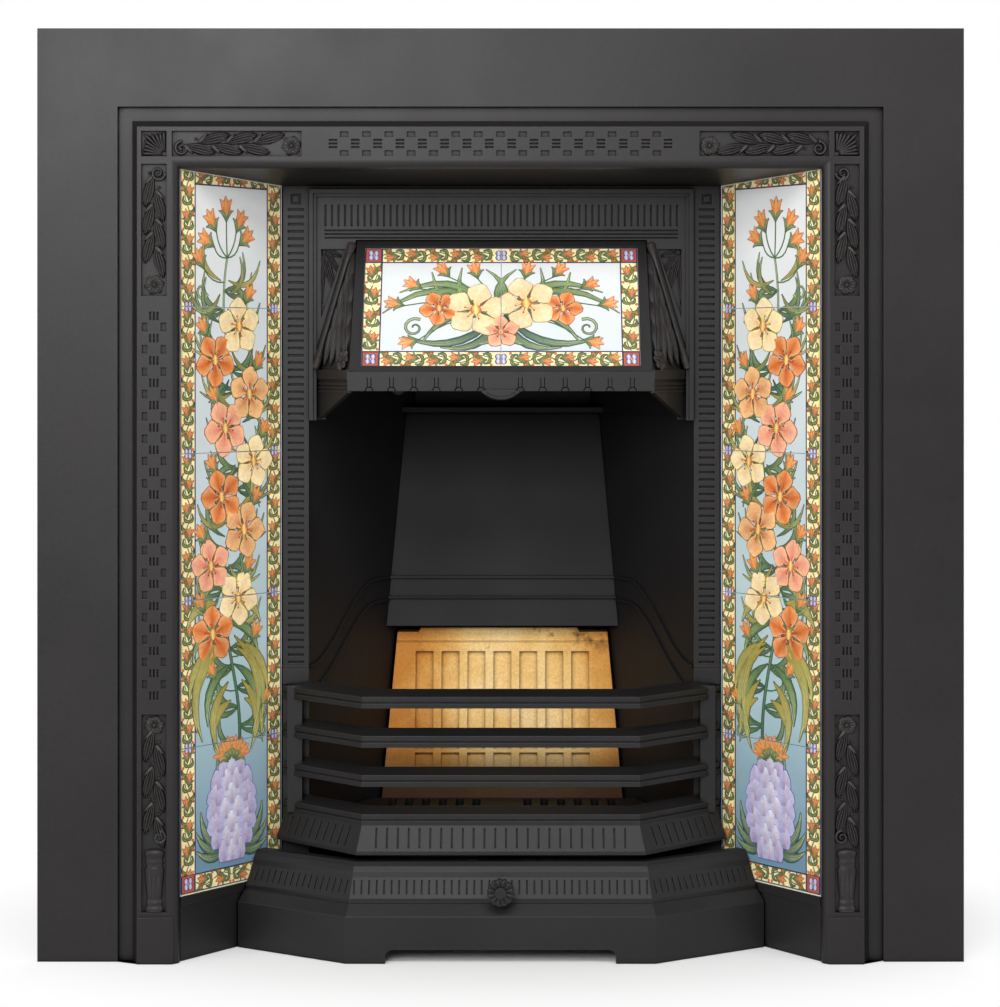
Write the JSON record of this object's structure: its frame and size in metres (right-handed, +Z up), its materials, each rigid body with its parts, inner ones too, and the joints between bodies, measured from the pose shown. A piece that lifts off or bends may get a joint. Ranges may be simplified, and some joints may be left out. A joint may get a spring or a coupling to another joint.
{
  "type": "tiled fireplace insert",
  "caption": "Cast iron fireplace insert with splayed tiled cheeks, tiled hood and damper, brick-backed grate, lift-off front bars and loose ashpit cover.",
  "frame": {"origin": "bottom centre of the bounding box, on the hearth", "axes": "+X to the right as seen from the room, +Y into the wall, +Z up"},
  "size_m": [0.958, 0.3824, 0.965],
  "materials": {
    "iron": "graphite-polished cast iron, low sheen",
    "iron_dark": "dark matt cast iron",
    "steel": "plain mild steel",
    "glaze": "opaque glazed ceramic tile, gloss",
    "fireclay": "unglazed moulded fireclay, matt and opaque"
  },
  "bodies": {
    "insert": {"surround_plate": "iron", "moulded_frame": "iron", "surround_bolts": "steel", "soffit": "iron_dark", "soffit_bolts": "steel", "cheek_bolts": "steel", "cheek_left": "iron", "cheek_right": "iron", "tile_keeper_left": "steel", "tile_keeper_right": "steel", "keeper_screws": "steel", "cheek_tile_left_1": "glaze", "cheek_tile_left_2": "glaze", "cheek_tile_left_3": "glaze", "cheek_tile_left_4": "glaze", "cheek_tile_left_5": "glaze", "cheek_tile_right_1": "glaze", "cheek_tile_right_2": "glaze", "cheek_tile_right_3": "glaze", "cheek_tile_right_4": "glaze", "cheek_tile_right_5": "glaze", "inner_frame": "iron", "chamber_bolts": "steel", "hood_surround": "iron", "hood": "iron", "hood_tile_left": "glaze", "hood_tile_right": "glaze", "hood_tile_clips": "steel", "hood_clip_screws": "steel", "hood_bolts": "steel", "damper_ear_left": "iron_dark", "damper_ear_right": "iron_dark", "chamber_side_left": "iron_dark", "chamber_side_right": "iron_dark", "chamber_back": "iron_dark", "back_bolts": "steel", "smoke_box": "iron_dark", "smoke_box_bolts": "steel", "back_brick": "fireclay", "wall_lugs": "steel", "wall_lug_bolts": "steel"},
    "damper": {"damper_flap": "iron_dark", "damper_knob": "iron_dark"},
    "grate": {"bottom_grate": "iron_dark"},
    "bars": {"front_bars": "iron"},
    "cover": {"ashpit_cover": "iron", "cover_knob": "iron", "cover_knob_nut": "steel"},
    "pan": {"ash_pan": "steel", "ash_pan_handle": "steel"}
  },
  "joints": [
    {"name": "damper_hinge", "type": "hinge", "parent": "insert", "child": "damper", "pos_m": [0, -0.03721, 0.73938], "axis": [1, 0, 0], "range_deg": [0, 80]},
    {"name": "grate_lift", "type": "slide", "parent": "insert", "child": "grate", "axis": [0, 0, 1], "range_m": [0, 0.04]},
    {"name": "bars_lift", "type": "slide", "parent": "insert", "child": "bars", "axis": [0, 0, 1], "range_m": [0, 0.022]},
    {"name": "cover_slide", "type": "slide", "parent": "insert", "child": "cover", "axis": [0, -1, 0], "range_m": [0, 0.4]},
    {"name": "pan_slide", "type": "slide", "parent": "insert", "child": "pan", "axis": [0, -1, 0], "range_m": [0, 0.24]}
  ],
  "couplings": [
    {"joint": "pan_slide", "follows": "cover_slide", "ratio": 0.6}
  ]
}
